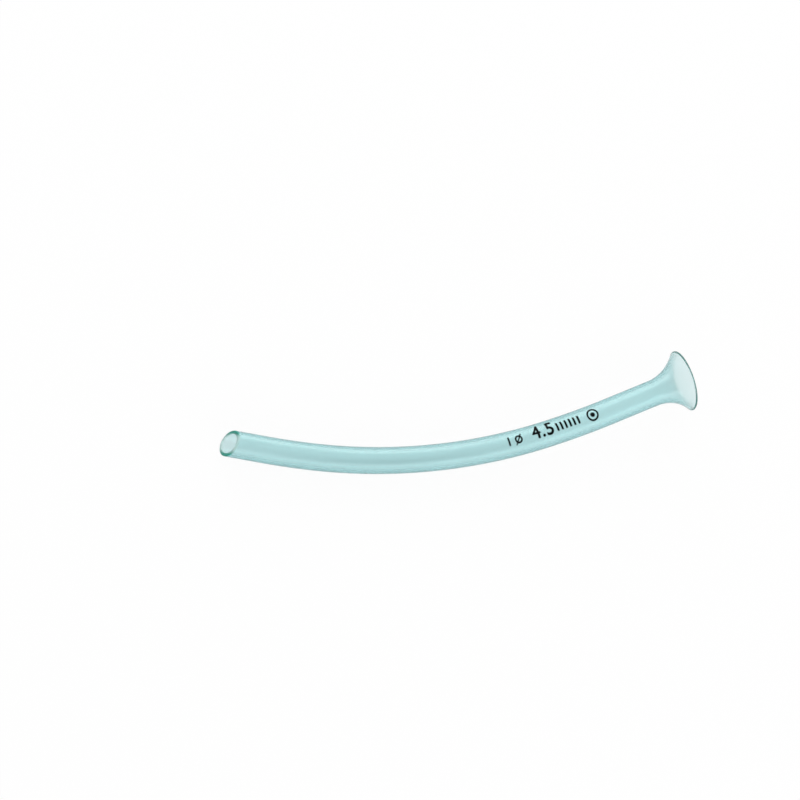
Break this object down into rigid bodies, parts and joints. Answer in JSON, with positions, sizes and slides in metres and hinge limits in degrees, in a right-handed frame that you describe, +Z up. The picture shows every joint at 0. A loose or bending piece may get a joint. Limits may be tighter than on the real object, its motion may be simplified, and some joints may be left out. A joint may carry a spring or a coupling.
{
  "type": "nasopharyngeal airway",
  "caption": "Soft bent tube that keeps a nasal airway open, with a rounded bevelled tip and a trumpet flare that stops it at the nostril.",
  "frame": {"origin": "under the middle of the airway's box, on the surface that it lies on", "axes": "+X from the tip to the flare, +Z up"},
  "size_m": [0.1136, 0.0192, 0.0141],
  "materials": {
    "soft_pvc": "clear soft PVC with a pale blue-green tint, moulded smooth and slightly wet looking",
    "marking_ink": "thin black printed ink"
  },
  "bodies": {
    "root": {"airway_tube": "soft_pvc"}
  },
  "joints": []
}
